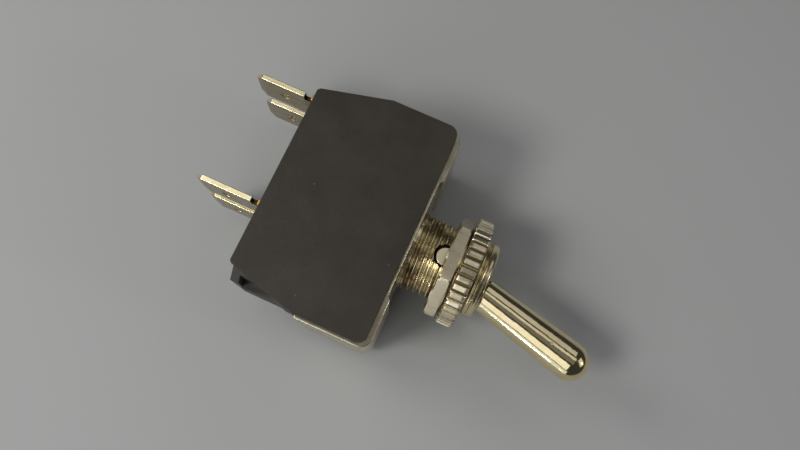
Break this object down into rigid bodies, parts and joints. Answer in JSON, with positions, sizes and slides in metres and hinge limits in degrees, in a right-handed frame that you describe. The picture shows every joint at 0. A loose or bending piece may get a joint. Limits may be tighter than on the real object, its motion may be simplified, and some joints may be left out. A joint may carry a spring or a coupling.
{
  "type": "toggle switch",
  "caption": "Bat-handle toggle switch with a threaded bushing, mounting nuts, a moulded housing in a metal bracket and blade terminals.",
  "frame": {"origin": "on the bushing's axis, level with the bracket's front pads, where the panel sits", "axes": "+X along the bushing towards the handle, +Y along the housing's length towards the end terminals, +Z out of the upper broad face; the switch lies on its lower broad face"},
  "size_m": [0.0634, 0.034, 0.0216],
  "materials": {
    "moulding": "matt black phenolic moulding",
    "base_moulding": "matt black phenolic moulding",
    "bracket_plate": "dull nickel plate on steel strip",
    "bushing_plate": "nickel plate on brass, worn at the crests",
    "pin_steel": "plain turned steel",
    "lever_plate": "polished nickel plate on brass",
    "nut_plate": "nickel plate on steel",
    "knurl_plate": "nickel plate on brass",
    "actuator_moulding": "natural moulding",
    "plunger_metal": "turned brass",
    "spring_wire": "spring wire",
    "contact_strip": "formed copper alloy strip",
    "contact_button": "silver alloy",
    "blade_metal": "tinned brass strip"
  },
  "bodies": {
    "switch_body": {"housing": "moulding", "terminal_base": "base_moulding", "bracket": "bracket_plate", "bushing": "bushing_plate", "pivot_pin": "pin_steel", "end_terminal_upper": "blade_metal", "end_terminal_lower": "blade_metal", "centre_terminal_upper": "blade_metal", "centre_terminal_lower": "blade_metal", "fixed_contact_upper": "contact_button", "fixed_contact_lower": "contact_button"},
    "toggle": {"lever": "lever_plate", "actuator": "actuator_moulding", "plunger_upper": "plunger_metal", "plunger_lower": "plunger_metal", "plunger_spring_upper": "spring_wire", "plunger_spring_lower": "spring_wire"},
    "rocker_upper": {"rocker_contact_upper": "contact_strip", "moving_contact_upper": "contact_button"},
    "rocker_lower": {"rocker_contact_lower": "contact_strip", "moving_contact_lower": "contact_button"},
    "hex_nut": {"hex_nut": "nut_plate"},
    "knurled_nut": {"knurled_nut": "knurl_plate"}
  },
  "joints": [
    {"name": "toggle_hinge", "type": "hinge", "parent": "switch_body", "child": "toggle", "pos_m": [0.00455, 0, 0], "axis": [0, 0, 1], "range_deg": [0, 28]},
    {"name": "rocker_upper_hinge", "type": "hinge", "parent": "switch_body", "child": "rocker_upper", "pos_m": [-0.0145, 0, 0.0045], "axis": [0, 0, 1], "range_deg": [-16.01, 0]},
    {"name": "rocker_lower_hinge", "type": "hinge", "parent": "switch_body", "child": "rocker_lower", "pos_m": [-0.0145, 0, -0.0045], "axis": [0, 0, 1], "range_deg": [-16.01, 0]},
    {"name": "hex_nut_turn", "type": "hinge", "parent": "switch_body", "child": "hex_nut", "pos_m": [0.0057, 0, 0], "axis": [1, 0, 0], "continuous": true},
    {"name": "knurled_nut_turn", "type": "hinge", "parent": "switch_body", "child": "knurled_nut", "pos_m": [0.00825, 0, 0], "axis": [1, 0, 0], "continuous": true}
  ],
  "couplings": [
    {"joint": "rocker_upper_hinge", "follows": "toggle_hinge", "ratio": -0.57143},
    {"joint": "rocker_lower_hinge", "follows": "toggle_hinge", "ratio": -0.57143}
  ]
}
